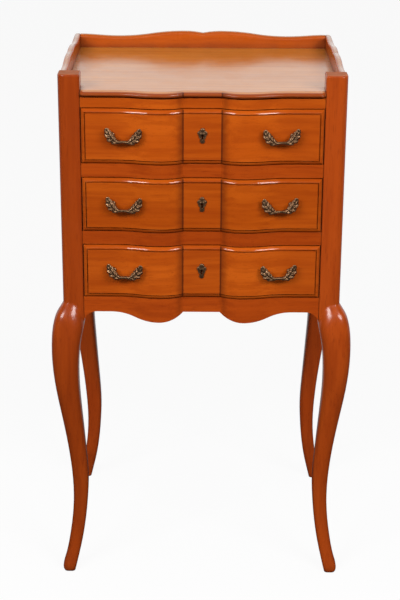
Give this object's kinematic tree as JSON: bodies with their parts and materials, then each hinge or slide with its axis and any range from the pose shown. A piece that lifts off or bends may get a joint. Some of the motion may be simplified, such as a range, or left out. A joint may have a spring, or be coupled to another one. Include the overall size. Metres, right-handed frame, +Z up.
{
  "type": "nightstand",
  "caption": "Bedside stand with drawers behind a crossbow front, a tray top inside a scalloped gallery, and cabriole legs.",
  "frame": {"origin": "on the floor, under the middle of the stand's box", "axes": "+Z up, -Y towards the drawer fronts, +X to the right of someone facing the drawers"},
  "size_m": [0.4244, 0.3518, 0.7547],
  "materials": {
    "cherry": "glossy lacquered cherry",
    "pale_wood": "bare pale hardwood",
    "plywood": "bare plywood",
    "antique_brass": "cast, darkened",
    "screw_steel": "zinc grey"
  },
  "bodies": {
    "case": {"front_left_leg": "cherry", "front_right_leg": "cherry", "rear_left_leg": "cherry", "rear_right_leg": "cherry", "left_side_board": "cherry", "right_side_board": "cherry", "back_gallery": "cherry", "back_panel": "plywood", "back_rail": "pale_wood", "top_board": "cherry", "frieze_rail": "cherry", "upper_rail": "cherry", "lower_rail": "cherry", "front_apron": "cherry", "left_kicker": "pale_wood", "right_kicker": "pale_wood", "drawer_stops": "pale_wood", "glue_blocks": "pale_wood", "runner_screws": "screw_steel", "top_left_runner": "pale_wood", "top_right_runner": "pale_wood", "middle_left_runner": "pale_wood", "middle_right_runner": "pale_wood", "bottom_left_runner": "pale_wood", "bottom_right_runner": "pale_wood"},
    "top_drawer": {"top_drawer_front": "cherry", "top_drawer_left_side": "pale_wood", "top_drawer_right_side": "pale_wood", "top_drawer_back": "pale_wood", "top_drawer_bottom": "plywood", "top_drawer_left_pull": "antique_brass", "top_drawer_right_pull": "antique_brass", "top_drawer_key_plate": "antique_brass", "top_drawer_pull_screws": "screw_steel"},
    "middle_drawer": {"middle_drawer_front": "cherry", "middle_drawer_left_side": "pale_wood", "middle_drawer_right_side": "pale_wood", "middle_drawer_back": "pale_wood", "middle_drawer_bottom": "plywood", "middle_drawer_left_pull": "antique_brass", "middle_drawer_right_pull": "antique_brass", "middle_drawer_key_plate": "antique_brass", "middle_drawer_pull_screws": "screw_steel"},
    "bottom_drawer": {"bottom_drawer_front": "cherry", "bottom_drawer_left_side": "pale_wood", "bottom_drawer_right_side": "pale_wood", "bottom_drawer_back": "pale_wood", "bottom_drawer_bottom": "plywood", "bottom_drawer_left_pull": "antique_brass", "bottom_drawer_right_pull": "antique_brass", "bottom_drawer_key_plate": "antique_brass", "bottom_drawer_pull_screws": "screw_steel"}
  },
  "joints": [
    {"name": "top_drawer_slide", "type": "slide", "parent": "case", "child": "top_drawer", "axis": [0, -1, 0], "range_m": [0, 0.19]},
    {"name": "middle_drawer_slide", "type": "slide", "parent": "case", "child": "middle_drawer", "axis": [0, -1, 0], "range_m": [0, 0.19]},
    {"name": "bottom_drawer_slide", "type": "slide", "parent": "case", "child": "bottom_drawer", "axis": [0, -1, 0], "range_m": [0, 0.19]}
  ]
}
